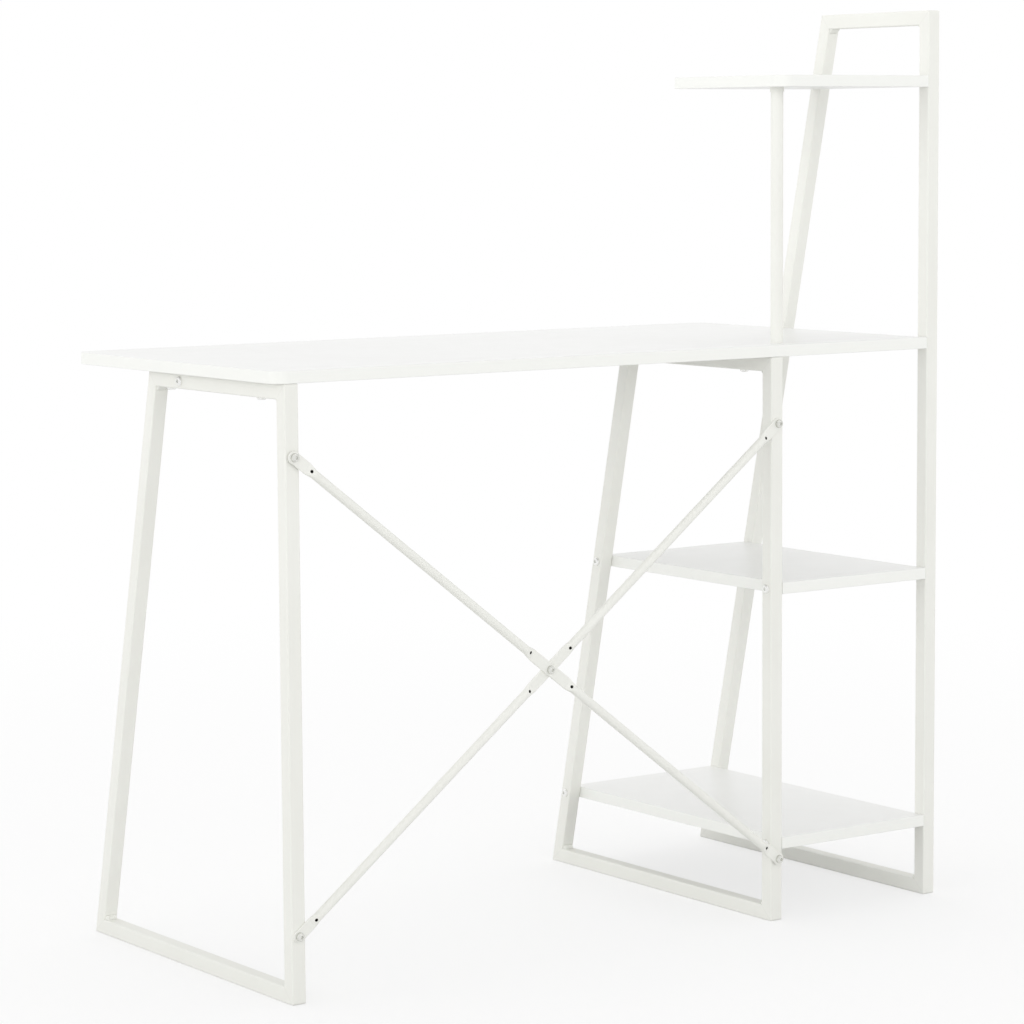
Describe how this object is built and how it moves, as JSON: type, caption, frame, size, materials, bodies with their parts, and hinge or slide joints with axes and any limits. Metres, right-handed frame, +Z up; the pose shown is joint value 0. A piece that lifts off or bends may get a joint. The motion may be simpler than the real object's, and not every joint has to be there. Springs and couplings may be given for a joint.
{
  "type": "desk with shelves",
  "caption": "White writing desk on welded square-tube frames with sloping legs, a crossed round-tube brace and an open shelf tower joined to one end.",
  "frame": {"origin": "on the floor, at the middle of the desk's length and depth", "axes": "+Z up, -Y towards the user, +Y towards the wall, -X towards the shelf tower"},
  "size_m": [1.0234, 0.4898, 1.17],
  "materials": {
    "white_board": "satin white facing",
    "white_frame": "fine satin powder coat",
    "white_brace": "fine satin powder coat",
    "nickel_steel": "bright nickel plating",
    "zinc_steel": "zinc plating"
  },
  "bodies": {
    "root": {"desktop": "white_board", "top_shelf": "white_board", "middle_shelf": "white_board", "lower_shelf": "white_board", "left_frame_upright": "white_frame", "left_frame_leg": "white_frame", "left_frame_top_rail": "white_frame", "left_frame_foot_rail": "white_frame", "middle_frame_upright": "white_frame", "middle_frame_leg": "white_frame", "middle_frame_top_rail": "white_frame", "middle_frame_foot_rail": "white_frame", "tall_frame_upright": "white_frame", "tall_frame_leg": "white_frame", "tall_frame_top_rail": "white_frame", "tall_frame_foot_rail": "white_frame", "desk_stretcher": "white_frame", "post": "white_frame", "post_collar": "white_frame", "brace_falling": "white_brace", "brace_rising": "white_brace", "stretcher_bolts": "nickel_steel", "post_bolt": "nickel_steel", "post_stud": "nickel_steel", "brace_end_bolts": "nickel_steel", "brace_washers": "nickel_steel", "brace_spacers": "nickel_steel", "brace_centre_bolt": "nickel_steel", "brace_centre_nut": "nickel_steel", "rail_bolts": "nickel_steel", "desktop_end_bolts": "nickel_steel", "top_shelf_bolts": "nickel_steel", "middle_shelf_bolts": "nickel_steel", "lower_shelf_bolts": "nickel_steel", "stretcher_plugs": "zinc_steel", "post_plugs": "zinc_steel", "post_insert": "zinc_steel", "brace_rivet_nuts": "zinc_steel", "rail_bolt_inserts": "zinc_steel", "desktop_end_inserts": "zinc_steel", "top_shelf_inserts": "zinc_steel", "middle_shelf_inserts": "zinc_steel", "lower_shelf_inserts": "zinc_steel"}
  },
  "joints": []
}
